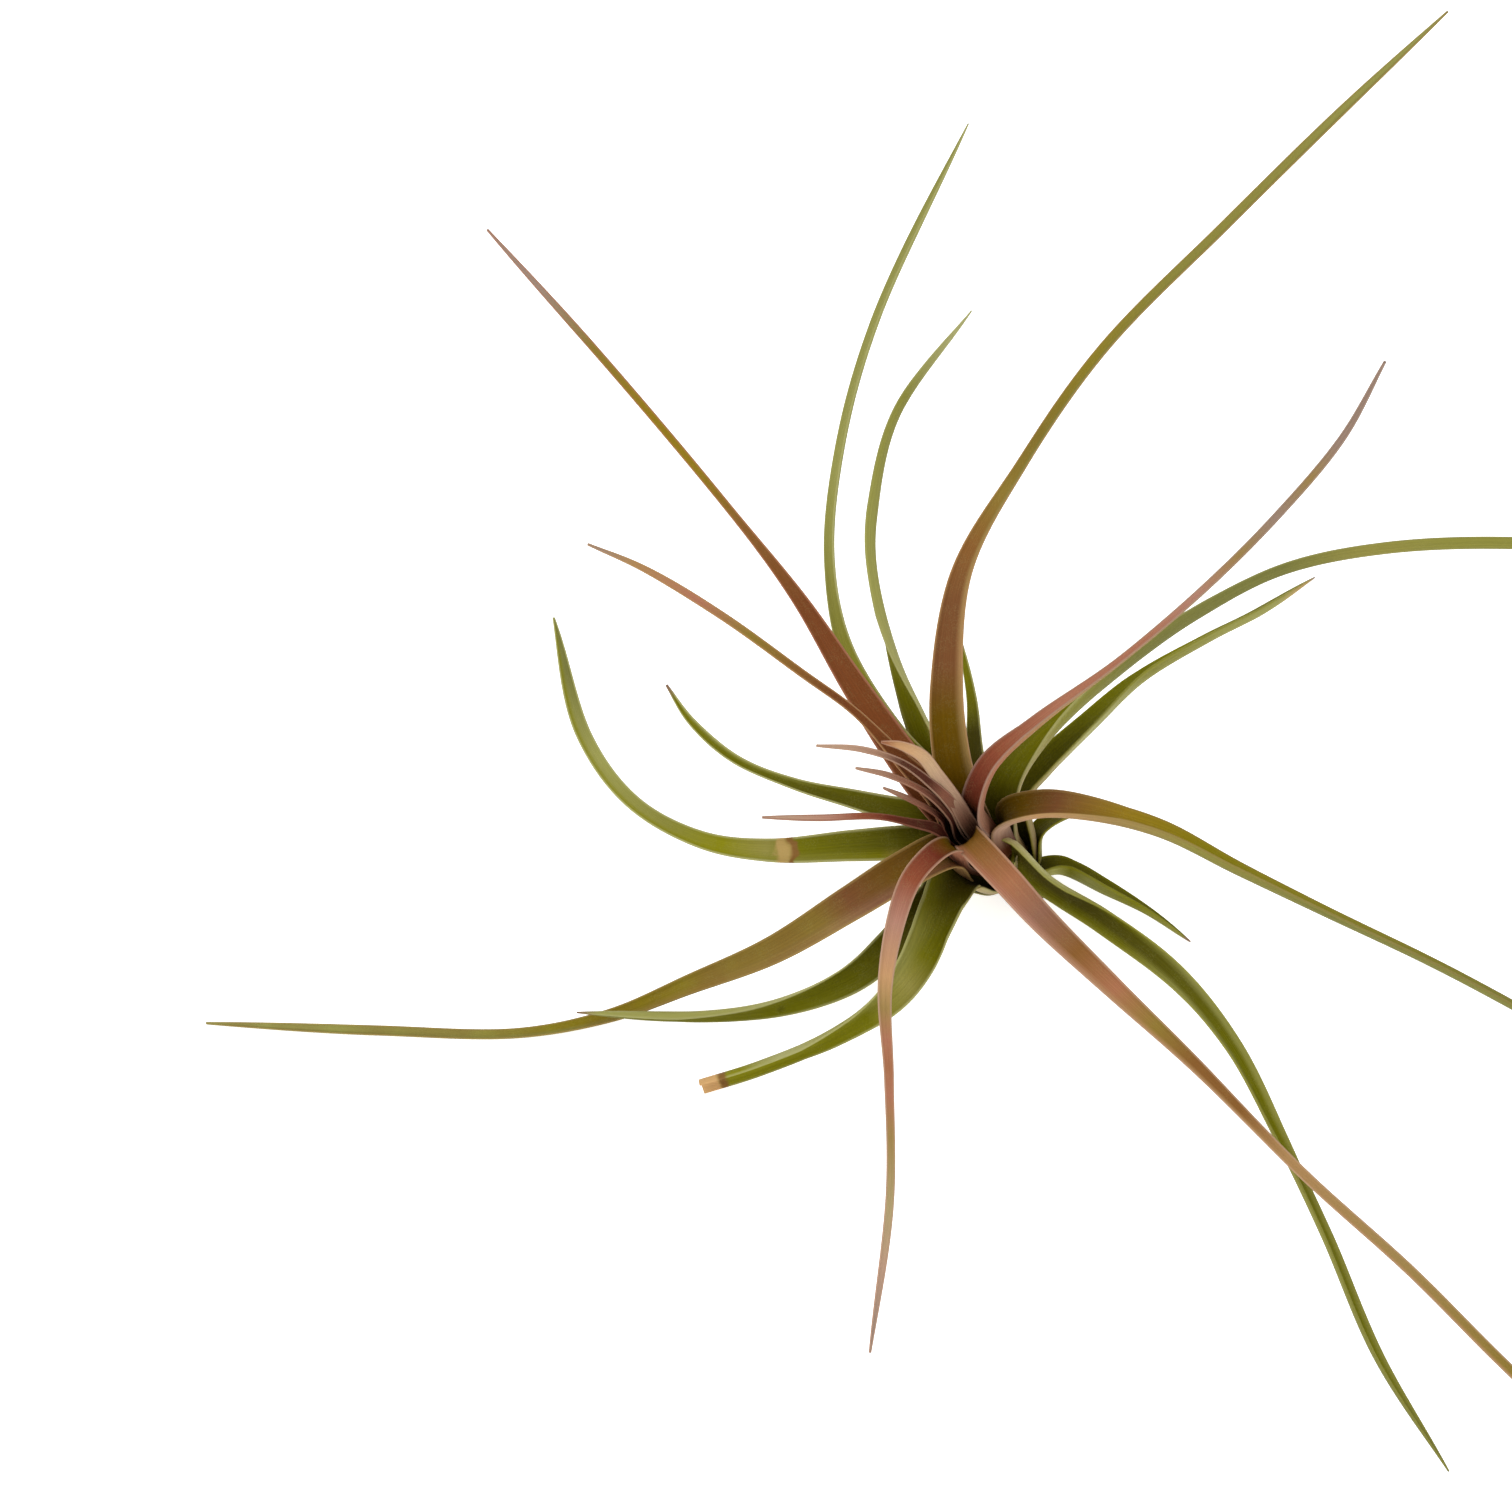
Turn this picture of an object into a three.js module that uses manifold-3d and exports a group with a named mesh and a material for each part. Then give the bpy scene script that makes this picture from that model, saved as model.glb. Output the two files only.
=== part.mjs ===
// Tillandsia concolor, an air plant: one rootless rosette of narrow channelled leaves
// on a short leaning stem, lying as it was picked on a flat surface.
// Millimetres, +Z up. The origin is the middle of the flat trimmed foot of the stem.

import * as THREE from "three";
import { mergeVertices } from "three/addons/utils/BufferGeometryUtils.js";
import Module from "manifold-3d";

const wasm = await Module();
wasm.setup();

// Clearance between two leaves that lie against each other, and to the stem
const GAP = 0.3;

// The stem leans from its foot towards -X and a little towards -Y
const STEM_LEAN = 32;
const STEM_HEADING = 192;
const STEM_SIDES = 20;
// Radius and height along the stem: trimmed foot, swollen middle, bud at the top
const STEM_PROFILE = [
  [2.7, 0], [3.1, 3.4], [4.3, 6], [4.4, 8], [3.6, 11], [2.6, 14], [1.4, 17], [0, 18],
];
// Points of the turned stem that lie closer than this are one
const SAME_POINT = 1e-4;

// Leaf section: thickness along the midrib from root to tip, and at the margins
const THICK_ROOT = 1.4;
const THICK_TIP = 0.7;
const THICK_MARGIN = 0.6;
// Half angle of the channel that the section bends through, at the root and, from a share of the
// length onwards, in the blade. Leaves with a deeper channel have their own.
const CUP = [62, 48];
const CUP_SETTLED = 0.3;
// The blade is broadest a little above its sheath, and draws in to a fine point at the end
const SHOULDER = 8;
const POINT_START = 0.86;
const POINT_WIDTH = 0.8;
// How deep a sheath starts inside the stem, which then trims it to its own surface
const ROOT_SUNK = 0.6;

// Facets: points across one face of a blade, and how long one step along it is
const ACROSS = 5;
const STEP_LENGTH = 10;
const STEP_EXTRA = 6;
const STEPS_MOST = 20;

const LEAF_ROUGHNESS = 0.7;
const COLOURS = {
  stem: 0x8a7355,
  heart: 0xa98476,
  copper: 0x8f6a48,
  green: 0x6f7a35,
};

// Each leaf, from the youngest at the heart to the oldest at the foot:
// root: height along the stem, angle round it, and the angle that its back faces if another;
// splay: angle from the stem where it sets off;
// sheath: how far it runs that way, and its breadth at the root;
// broad, tail: breadth of the blade and of its long narrow end;
// waist: share of the length where the narrow end begins;
// cup: half angle of the channel at the root and in the blade;
// twist: shares of the length, and how far the blade is turned over about its midrib there;
// cut: whether the tip was cut off blunt; blade: points of the midrib.
const LEAVES = [
  {
    name: "heart_leaf_1", age: "heart", root: [17, 200, 168], splay: 5, sheath: [3, 1.6],
    broad: 2.2, tail: 1.0, waist: 0.75,
    blade: [[-16.5, -3.5, 23], [-18.5, -3.5, 32], [-24, -4, 39.5], [-29, -3.5, 43]],
  },
  {
    name: "heart_leaf_2", age: "heart", root: [16.5, 140, 158], splay: 5, sheath: [3, 1.8],
    broad: 2.5, tail: 1.0, waist: 0.8,
    blade: [[-15, -2, 23], [-17, -3.5, 33.5], [-22, -3.5, 42], [-28, -3, 46.5], [-34, -3.5, 50]],
  },
  {
    name: "heart_leaf_3", age: "heart", root: [16, 80, 146], splay: 5, sheath: [3, 2.0],
    broad: 2.8, tail: 1.0, waist: 0.8,
    blade: [[-13.5, -1.5, 24], [-16.5, -2.5, 35], [-20.5, -3, 43.5], [-26, -2, 49.5], [-33, -2, 54],
      [-41, -3, 57]],
  },
  {
    name: "heart_leaf_4", age: "heart", root: [15.5, 20, 126], splay: 5, sheath: [3, 2.4],
    broad: 3.1, tail: 2.2, waist: 0.9,
    blade: [[-12.5, -2, 25], [-16, -2, 35.5], [-19.5, -1.5, 44], [-22.5, -0.5, 49.5], [-26, 0.5, 51],
      [-29.5, 1.5, 50.5]],
  },
  {
    name: "heart_leaf_5", age: "heart", root: [14.5, 215, 178], splay: 8, sheath: [3, 2.6],
    broad: 3.3, tail: 1.1, waist: 0.65,
    blade: [[-16.5, -5.5, 23.5], [-19, -5.5, 31], [-24, -7, 36.5], [-30.5, -8.5, 41.5],
      [-40.5, -10.5, 44.5], [-50.5, -11.5, 46.5]],
  },
  {
    name: "inner_leaf_1", age: "copper", root: [13.5, 140], splay: 8, sheath: [10, 3.4],
    broad: 5.2, tail: 1.5, waist: 0.5,
    blade: [[-19.5, -0.5, 35.5], [-25, 1, 43.5], [-34, 5.5, 54], [-43.5, 8.5, 62.5], [-57.5, 14.5, 72],
      [-71, 21, 77], [-81, 25.5, 78]],
  },
  {
    name: "inner_leaf_2", age: "heart", root: [13, 225], splay: 8, sheath: [10, 3.4],
    broad: 4.2, tail: 1.3, waist: 0.6,
    blade: [[-16.5, -7.5, 29], [-19.5, -11, 33], [-23.5, -16.5, 34.5], [-26, -23, 35.5], [-29, -40, 37],
      [-28.5, -58, 36], [-28.5, -78.5, 31], [-32, -103.5, 22.5]],
  },
  {
    name: "inner_leaf_3", age: "copper", root: [12.5, 40], splay: 8, sheath: [11, 3.6],
    broad: 6.2, tail: 1.5, waist: 0.5, cup: [80, 72],
    twist: [[0, 10], [0.12, 0], [0.3, -35], [0.6, 0]],
    blade: [[-12.5, -2, 34.5], [-10, 1.5, 42.5], [-2, 6, 49.5], [13, 14, 56.5], [28, 25, 61],
      [42, 40.5, 62.5], [53.5, 56, 65], [62, 72, 66]],
  },
  {
    name: "inner_leaf_4", age: "copper", root: [12, 118], splay: 10, sheath: [10, 4.4],
    broad: 6.6, tail: 1.8, waist: 0.6,
    blade: [[-20.5, 3, 30.5], [-27, 9, 37.5], [-34.5, 18, 44], [-44, 33, 48], [-56.5, 53, 50.5],
      [-77, 81.5, 53], [-101.5, 109.5, 54]],
  },
  {
    name: "inner_leaf_5", age: "copper", root: [11.5, 310], splay: 10, sheath: [10, 4.8],
    broad: 6.4, tail: 2.3, waist: 0.5,
    blade: [[-13.5, -5.5, 28], [-7, -13, 27], [-0.5, -20.5, 25.5], [12, -34, 24.5], [25.5, -48.5, 24],
      [44.5, -70, 22.5], [62, -87.5, 21], [78.5, -105.5, 19], [108, -133, 12.5]],
  },
  {
    name: "inner_leaf_6", age: "copper", root: [11, 92], splay: 10, sheath: [10, 5.0],
    broad: 7.2, tail: 1.9, waist: 0.42,
    blade: [[-14.5, 3, 29.5], [-16.5, 6.5, 37.5], [-17.5, 14.5, 47], [-15, 31.5, 58.5], [-4, 52, 62.5],
      [11, 76.5, 62.5], [35.5, 108, 58], [58, 135.5, 55], [80, 160.5, 53.5]],
  },
  {
    name: "inner_leaf_7", age: "copper", root: [10.5, 0], splay: 12, sheath: [9, 6.0],
    broad: 7.0, tail: 3.2, waist: 0.6, cup: [72, 68],
    twist: [[0.1, 0], [0.16, -10], [0.25, -34], [0.4, -42]],
    blade: [[-7.5, -0.5, 26], [-1.5, -1, 31.5], [7, -3.5, 35], [20.5, -7.5, 35], [34.5, -13, 30.5],
      [51, -18.5, 24], [69.5, -24, 16], [84.5, -29, 9], [125, -50.5, 0.2]],
  },
  {
    name: "inner_leaf_8", age: "copper", root: [10, 200], splay: 14, sheath: [8, 5.4],
    broad: 7.4, tail: 1.7, waist: 0.68,
    blade: [[-17.5, -6, 24], [-25, -10.5, 25], [-34.5, -15.5, 22], [-48.5, -21, 14.5], [-63.5, -24.5, 8],
      [-78, -28, 2.5], [-94.5, -30.5, 0.5], [-120, -30, 0.5], [-151.5, -28.5, 0.5]],
  },
  {
    name: "outer_leaf_1", age: "green", root: [9.5, 158], splay: 16, sheath: [7, 4.6],
    broad: 5.4, tail: 1.6, waist: 0.7,
    blade: [[-20, 2, 23], [-26.5, 2.5, 24.5], [-34.5, 4.5, 25], [-44.5, 7.5, 25], [-55.5, 14, 23],
      [-63.5, 22, 23], [-68, 29, 24]],
  },
  {
    name: "outer_leaf_2", age: "green", root: [12, 250], splay: 24, sheath: [4, 4.8],
    broad: 8.8, tail: 4.4, waist: 0.65, cup: [72, 74], cut: true,
    twist: [[0, -20], [0.08, -45], [0.16, -50], [0.21, 0], [0.3, 0], [0.5, -112]],
    blade: [[-14.5, -7, 18], [-17.5, -13.5, 17.5], [-22.5, -24, 15], [-28, -30, 12], [-38, -35.5, 8.5],
      [-51, -39.6, 4.6], [-61.5, -42.1, 2.3]],
  },
  {
    name: "outer_leaf_3", age: "green", root: [8.5, 112], splay: 18, sheath: [7, 5.0],
    broad: 7.0, tail: 2.8, waist: 0.45, cup: [75, 65],
    twist: [[0, -5], [0.3, -38], [0.5, -79], [0.6, -90]],
    blade: [[-17.5, 10, 24], [-21.5, 16.5, 29], [-27.5, 31.5, 34.5], [-30.5, 47.5, 37.5], [-30, 58.5, 38.5],
      [-25.5, 80.5, 36], [-11, 106, 32.5]],
  },
  {
    name: "outer_leaf_4", age: "green", root: [9, 60], splay: 14, sheath: [8, 5.2],
    broad: 8.0, tail: 3.0, waist: 0.5, cup: [78, 70],
    twist: [[0.1, 0], [0.2, -40], [0.3, -72], [0.4, -85]],
    blade: [[-7, 5.5, 24], [-5.5, 8.5, 28], [-1, 13.5, 31], [5.5, 19, 34], [18, 28.5, 37], [29, 37, 36.5],
      [44.5, 46.5, 34], [63.5, 54, 29], [89.5, 61, 21.5], [126, 64.5, 10.5]],
  },
  {
    name: "outer_leaf_5", age: "green", root: [6.5, 178], splay: 24, sheath: [6, 5.6],
    broad: 7.0, tail: 2.0, waist: 0.62,
    blade: [[-18, -0.5, 17], [-24.5, -1, 18], [-34.5, -1, 17], [-49, -0.5, 14.5], [-61.5, 2, 14],
      [-74, 9, 15.5], [-83, 21.5, 18], [-89, 45, 21.5]],
  },
  {
    name: "outer_leaf_6", age: "green", root: [7, 126], splay: 26, sheath: [7, 5.0],
    broad: 6.2, tail: 2.4, waist: 0.4, cup: [75, 65], twist: [[0, -15], [0.35, -60]],
    blade: [[-20, 11, 22.5], [-26.5, 17, 27], [-35, 31, 33], [-38, 49, 35], [-36, 73.5, 34.5],
      [-29, 104.5, 31.5], [-10.5, 154, 26.5]],
  },
  {
    name: "outer_leaf_7", age: "green", root: [10.5, 222], splay: 26, sheath: [3.5, 4.4],
    broad: 6.4, tail: 3.0, waist: 0.8, cup: [70, 70],
    twist: [[0, -20], [0.08, -50], [0.16, -40], [0.2, 0], [0.35, -30], [0.5, -75], [0.65, -120]],
    blade: [[-15.5, -5.5, 15.5], [-19.5, -10.5, 14.5], [-27, -18, 11], [-34.5, -23.5, 8.5], [-47, -28, 6.5],
      [-61.5, -30, 6], [-84, -29.5, 6.5]],
  },
  {
    name: "outer_leaf_8", age: "green", root: [10, 317], splay: 16, sheath: [7, 5.2],
    broad: 6.8, tail: 2.8, waist: 0.6, cup: [78, 70],
    twist: [[0, 60], [0.1, 100], [0.2, 98], [0.3, 65], [0.45, 0], [0.6, -35]],
    blade: [[-6, -4, 22], [0.5, -9.5, 19], [11, -14.5, 14.5], [24, -26.5, 14.5], [33.5, -40.5, 14.5],
      [41, -58, 14], [48.5, -76.5, 12.5], [57, -98, 8], [69, -116, 0.2]],
  },
  {
    name: "outer_leaf_9", age: "green", root: [6.5, 45], splay: 28, sheath: [7, 5.0],
    broad: 6.2, tail: 3.4, waist: 0.8, cup: [75, 72], twist: [[0.25, 0], [0.5, -22]],
    blade: [[-3.5, 8, 19.5], [0.5, 12.5, 22], [9.5, 22, 22.5], [19, 33, 20], [32.5, 45, 14.5], [43, 53.5, 8],
      [54.5, 65, 0.2]],
  },
  {
    name: "outer_leaf_10", age: "green", root: [7.5, 350], splay: 45, sheath: [2.5, 4.4],
    broad: 6.6, tail: 2.2, waist: 0.9, cup: [75, 68], twist: [[0, -20], [0.25, -48]],
    blade: [[4, -2, 11.5], [12.5, -5.5, 9.5], [20.5, -8, 5], [28, -11.5, 0.2]],
  },
  {
    name: "outer_leaf_11", age: "green", root: [4.5, 86], splay: 28, sheath: [7, 4.4],
    broad: 4.6, tail: 1.5, waist: 0.9,
    blade: [[-10, 8.5, 17.5], [-11.5, 15.5, 21.5], [-12, 26, 23], [-14, 39.5, 23]],
  },
  {
    name: "outer_leaf_12", age: "green", root: [4.5, 30], splay: 30, sheath: [5, 4.6],
    broad: 4.6, tail: 1.5, waist: 0.9,
    blade: [[0, 4, 14], [6, 8, 14], [14.5, 10.5, 10.5], [24, 10.5, 3.5]],
  },
];

const radians = THREE.MathUtils.degToRad;
const lerp = THREE.MathUtils.lerp;

// Directions of the leaning stem: along it, and the two across it that root angles turn through
const along = new THREE.Vector3(
  Math.sin(radians(STEM_LEAN)) * Math.cos(radians(STEM_HEADING)),
  Math.sin(radians(STEM_LEAN)) * Math.sin(radians(STEM_HEADING)),
  Math.cos(radians(STEM_LEAN)),
);
const acrossA = new THREE.Vector3(1, 0, 0).addScaledVector(along, -along.x).normalize();
const acrossB = new THREE.Vector3().crossVectors(along, acrossA);

function roundStem(angle) {
  const turn = radians(angle);
  return acrossA.clone().multiplyScalar(Math.cos(turn)).addScaledVector(acrossB, Math.sin(turn));
}

function stemRadius(height) {
  const upper = STEM_PROFILE.findIndex(([, at]) => at > height);
  const [r0, h0] = STEM_PROFILE[upper - 1];
  const [r1, h1] = STEM_PROFILE[upper];
  return lerp(r0, r1, (height - h0) / (h1 - h0));
}

function closedGeometry(vertices, triangles) {
  const geometry = new THREE.BufferGeometry();
  geometry.setAttribute("position", new THREE.Float32BufferAttribute(vertices, 3));
  geometry.setIndex(triangles);
  return geometry;
}

// The stem: a turned body laid along its lean, its lowest ring slid along it down to the surface
function stemGeometry(grow = 0) {
  const profile = [new THREE.Vector2(0, 0)];
  for (const [radius, height] of STEM_PROFILE) {
    const onAxis = radius === 0;
    profile.push(new THREE.Vector2(onAxis ? 0 : radius + grow, onAxis ? height + grow : height));
  }
  const geometry = new THREE.LatheGeometry(profile, STEM_SIDES);
  geometry.deleteAttribute("normal");
  geometry.deleteAttribute("uv");
  const merged = mergeVertices(geometry, SAME_POINT);
  const position = merged.attributes.position;
  const point = new THREE.Vector3();
  for (let i = 0; i < position.count; i += 1) {
    point.fromBufferAttribute(position, i);
    const height = point.y;
    const place = acrossA.clone().multiplyScalar(point.x)
      .addScaledVector(acrossB, -point.z)
      .addScaledVector(along, height);
    if (height === 0) place.addScaledVector(along, -place.z / along.z);
    position.setXYZ(i, place.x, place.y, place.z);
  }
  return merged;
}

// Midrib of a leaf: out of the stem, up its sheath, then through the points of the blade
function midrib(leaf) {
  const [height, angle] = leaf.root;
  const outward = roundStem(angle);
  const start = along.clone().multiplyScalar(height)
    .addScaledVector(outward, stemRadius(height) - ROOT_SUNK);
  const heading = along.clone().multiplyScalar(Math.cos(radians(leaf.splay)))
    .addScaledVector(outward, Math.sin(radians(leaf.splay)));
  const sheath = start.clone().addScaledVector(heading, leaf.sheath[0]);
  const blade = leaf.blade.map(([x, y, z]) => new THREE.Vector3(x, y, z));
  return new THREE.CatmullRomCurve3([start, sheath, ...blade], false, "centripetal");
}

// Breadth of a leaf at a share of its length: sheath, shoulder, narrow tail, fine point
function breadth(leaf, share, shoulder) {
  if (share < shoulder) {
    const opened = Math.sin((Math.PI / 2) * (share / shoulder));
    return lerp(leaf.sheath[1], leaf.broad, opened);
  }
  const fall = Math.min(1, (share - shoulder) / (leaf.waist - shoulder));
  const body = lerp(leaf.broad, leaf.tail, (1 - Math.cos(Math.PI * fall)) / 2);
  if (leaf.cut || share < POINT_START) return body;
  return lerp(body, POINT_WIDTH, (share - POINT_START) / (1 - POINT_START));
}

// How far a leaf is turned over at a share of its length
function turnedOver(leaf, share) {
  if (!leaf.twist) return 0;
  const later = leaf.twist.findIndex(([at]) => at > share);
  if (later === 0) return leaf.twist[0][1];
  if (later < 0) return leaf.twist.at(-1)[1];
  const [from, before] = leaf.twist[later - 1];
  const [to, after] = leaf.twist[later];
  return lerp(before, after, (share - from) / (to - from));
}

// One leaf as a closed body: a channelled section, open towards the heart, carried along the
// midrib without turning, apart from the leaf's own twist. Both faces are split alike, and
// nothing reaches below the surface that the plant lies on by more than the clearance.
function leafGeometry(leaf, grow = 0) {
  const curve = midrib(leaf);
  const length = curve.getLength();
  const steps = Math.min(STEPS_MOST, Math.round(length / STEP_LENGTH) + STEP_EXTRA);
  const shoulder = (leaf.sheath[0] + SHOULDER) / length;
  const [, angle, facing = angle] = leaf.root;
  let side = new THREE.Vector3().crossVectors(roundStem(facing), along).normalize();
  const vertices = [];
  const triangles = [];
  for (let step = 0; step <= steps; step += 1) {
    const share = step / steps;
    const centre = curve.getPointAt(share);
    const forward = curve.getTangentAt(share);
    side = side.addScaledVector(forward, -side.dot(forward)).normalize();
    const rolled = side.clone().applyAxisAngle(forward, radians(turnedOver(leaf, share)));
    const upper = new THREE.Vector3().crossVectors(rolled, forward).normalize();
    const cup = radians(lerp(...(leaf.cup ?? CUP), Math.min(1, share / CUP_SETTLED)));
    const half = breadth(leaf, share, shoulder) / 2 + grow;
    const radius = half / Math.sin(cup);
    const rise = (radius * (1 + Math.cos(cup))) / 2;
    const middle = lerp(THICK_ROOT, THICK_TIP, Math.sqrt(share));
    for (const face of [1, -1]) {
      for (let i = 0; i < ACROSS; i += 1) {
        const place = (2 * i) / (ACROSS - 1) - 1;
        const turn = cup * place * face;
        const thick = lerp(middle, THICK_MARGIN, Math.abs(place)) + 2 * grow;
        const reach = radius - (face * thick) / 2;
        const vertex = centre.clone()
          .addScaledVector(rolled, reach * Math.sin(turn))
          .addScaledVector(upper, rise - reach * Math.cos(turn));
        vertices.push(vertex.x, vertex.y, Math.max(-grow, vertex.z));
      }
    }
  }
  const ring = 2 * ACROSS;
  for (let step = 0; step < steps; step += 1) {
    for (let i = 0; i < ring; i += 1) {
      const a = step * ring + i;
      const b = step * ring + ((i + 1) % ring);
      triangles.push(a, b, b + ring, a, b + ring, a + ring);
    }
  }
  for (let i = 0; i < ACROSS - 1; i += 1) {
    const last = steps * ring;
    const other = ring - 1 - i;
    triangles.push(i, other, i + 1, i + 1, other, other - 1);
    triangles.push(last + i, last + i + 1, last + other, last + i + 1, last + other - 1, last + other);
  }
  return closedGeometry(vertices, triangles);
}

function toSolid(geometry) {
  const vertProperties = Float32Array.from(geometry.attributes.position.array);
  const triVerts = Uint32Array.from(geometry.index.array);
  return new wasm.Manifold(new wasm.Mesh({ numProp: 3, vertProperties, triVerts }));
}

function toGeometry(solid) {
  const mesh = solid.getMesh();
  return closedGeometry(Array.from(mesh.vertProperties), Array.from(mesh.triVerts));
}

function largestPiece(solid) {
  return solid.decompose().reduce((kept, piece) => (piece.volume() > kept.volume() ? piece : kept));
}

function material(colour) {
  return new THREE.MeshStandardMaterial({ color: colour, roughness: LEAF_ROUGHNESS, metalness: 0 });
}

const plant = new THREE.Group();

function addPiece(name, geometry, colour) {
  const mesh = new THREE.Mesh(geometry, material(colour));
  mesh.name = name;
  plant.add(mesh);
}

addPiece("stem", stemGeometry(), COLOURS.stem);

// Each leaf gives way to the stem and to the younger leaves that it wraps
const inside = [toSolid(stemGeometry(GAP))];
for (const leaf of LEAVES) {
  let solid = toSolid(leafGeometry(leaf));
  for (const cutter of inside) {
    if (solid.intersect(cutter).volume() > 0) solid = solid.subtract(cutter);
  }
  addPiece(leaf.name, toGeometry(largestPiece(solid)), COLOURS[leaf.age]);
  inside.push(toSolid(leafGeometry(leaf, GAP)));
}

export default plant;
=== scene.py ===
"""An air plant of the kind Tillandsia concolor, lying on a pale surface as it was picked.

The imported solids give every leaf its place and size. Each is replaced here by a finer blade along
the same midrib, with its folded section, thin margins and colouring. Lengths are in millimetres
until a mesh is made, and angles are in degrees.
"""

import math
import random

import bpy
from mathutils import Matrix, Vector


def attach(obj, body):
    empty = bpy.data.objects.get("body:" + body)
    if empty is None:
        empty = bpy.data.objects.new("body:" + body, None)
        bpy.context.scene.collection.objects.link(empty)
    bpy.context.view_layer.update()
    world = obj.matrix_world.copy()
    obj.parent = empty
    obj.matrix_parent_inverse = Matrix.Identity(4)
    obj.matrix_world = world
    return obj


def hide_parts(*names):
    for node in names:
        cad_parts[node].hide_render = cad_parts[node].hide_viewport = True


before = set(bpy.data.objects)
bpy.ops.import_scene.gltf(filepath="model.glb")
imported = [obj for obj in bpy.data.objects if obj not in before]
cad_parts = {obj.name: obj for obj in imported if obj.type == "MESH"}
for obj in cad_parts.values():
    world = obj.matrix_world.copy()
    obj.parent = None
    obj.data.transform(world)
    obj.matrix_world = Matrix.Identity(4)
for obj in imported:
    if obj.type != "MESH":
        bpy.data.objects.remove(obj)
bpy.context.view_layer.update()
MM = 0.001


# The stem: a short woody stub that leans as the plant lies, trimmed flat where it was picked.
# Leaves that died off have left rings of papery brown scar, and the living ones hide most of it.
STEM_LEAN = 32
STEM_HEADING = 192
STEM_PROFILE = [(2.7, 0), (3.1, 3.4), (4.3, 6), (4.4, 8), (3.6, 11), (2.6, 14), (1.4, 17), (0, 18)]
STEM_SIDES = 48
STEM_RINGS = 90
SCAR_SPACING = 1.1
SCAR_DEPTH = 0.14
SCAR_SHARPNESS = 3

stem_tilt = math.radians(STEM_LEAN)
stem_turn = math.radians(STEM_HEADING)
stem_along = Vector((
    math.sin(stem_tilt) * math.cos(stem_turn),
    math.sin(stem_tilt) * math.sin(stem_turn),
    math.cos(stem_tilt),
))
stem_across = (Vector((1, 0, 0)) - stem_along * stem_along.x).normalized()
stem_beside = stem_along.cross(stem_across)


def blend(low, high, share):
    return low + (high - low) * share


def pigment(code):
    """Blender's linear colour for a six-figure colour code."""
    shades = [int(code[i:i + 2], 16) / 255 for i in (1, 3, 5)]
    return [s / 12.92 if s < 0.04045 else ((s + 0.055) / 1.055) ** 2.4 for s in shades] + [1]


def round_stem(angle):
    turn = math.radians(angle)
    return stem_across * math.cos(turn) + stem_beside * math.sin(turn)


def stem_radius(height):
    for (low, start), (high, end) in zip(STEM_PROFILE, STEM_PROFILE[1:]):
        if height < end:
            return blend(low, high, (height - start) / (end - start))
    return 0


def linked(mesh_name, points, faces):
    """A smooth-shaded piece of the plant's one body, from points in millimetres."""
    mesh = bpy.data.meshes.new(mesh_name)
    mesh.from_pydata([point * MM for point in points], [], faces)
    mesh.shade_smooth()
    piece = bpy.data.objects.new(mesh_name, mesh)
    bpy.context.scene.collection.objects.link(piece)
    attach(piece, "root")
    return piece


def add_node(tree, kind, settings=(), feeds=()):
    """A shader node, with each input given as a value or as the socket that feeds it."""
    node = tree.nodes.new("ShaderNode" + kind)
    for name, value in dict(settings).items():
        setattr(node, name, value)
    for name, value in dict(feeds).items():
        if isinstance(value, bpy.types.NodeSocket):
            tree.links.new(value, node.inputs[name])
        else:
            node.inputs[name].default_value = value
    return node


def mixed(tree, share, first, second):
    node = add_node(tree, "Mix", {"data_type": "RGBA"}, {"Factor": share, "A": first, "B": second})
    return node.outputs["Result"]


def eased(tree, value, start, end, low=0.0, high=1.0):
    """Low before start, high after end, and a smooth rise between."""
    feeds = {"Value": value, "From Min": start, "From Max": end, "To Min": low, "To Max": high}
    return add_node(tree, "MapRange", {"interpolation_type": "SMOOTHSTEP"}, feeds).outputs["Result"]


def sums(tree, operation, first, second):
    return add_node(tree, "Math", {"operation": operation}, {0: first, 1: second}).outputs[0]


def effect_group(name, inputs, outputs):
    """An empty shader node group, its float sockets, and the nodes that stand for them."""
    group = bpy.data.node_groups.new(name, "ShaderNodeTree")
    for label in inputs:
        group.interface.new_socket(label, in_out="INPUT", socket_type="NodeSocketFloat")
    for label in outputs:
        group.interface.new_socket(label, in_out="OUTPUT", socket_type="NodeSocketFloat")
    return group, group.nodes.new("NodeGroupInput").outputs, group.nodes.new("NodeGroupOutput").inputs


def placed(tree, group, feeds):
    """The mask that an effect group gives where it is placed in a material."""
    return add_node(tree, "Group", {"node_tree": group}, feeds).outputs["Mask"]


def new_finish(name):
    """A new material, its node tree and its shader."""
    material = bpy.data.materials.new(name)
    material.use_nodes = True
    tree = material.node_tree
    return material, tree, tree.nodes["Principled BSDF"]


PATCH_EDGE = (0.36, 0.64)


def patches_group():
    """Soft uneven patches, as pigment and wear lie: how many to the metre, and where they start."""
    group, given, result = effect_group("soft patches", ["Count", "Seed"], ["Mask"])
    spot = add_node(group, "TexCoord").outputs["Object"]
    shift = add_node(group, "CombineXYZ", feeds={"X": given["Seed"]}).outputs[0]
    moved = add_node(group, "VectorMath", {"operation": "ADD"}, {0: spot, 1: shift}).outputs[0]
    noise = add_node(group, "TexNoise", feeds={"Vector": moved, "Scale": given["Count"], "Detail": 3.0})
    group.links.new(eased(group, noise.outputs["Fac"], *PATCH_EDGE), result["Mask"])
    return group


soft_patches = patches_group()

BARK_DARK = "#3b2718"
BARK_PALE = "#8d7350"
BARK_PATCHES = 350.0
BARK_FLECKS = 1800.0
BARK_PATCH_SHARE = 0.6
BARK_FLECK_SHARE = 0.4
BARK_RELIEF = 0.5
BARK_RELIEF_DEPTH = 0.0002
BARK_ROUGHNESS = 0.85
BARK_GLOSS = 0.2


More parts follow.
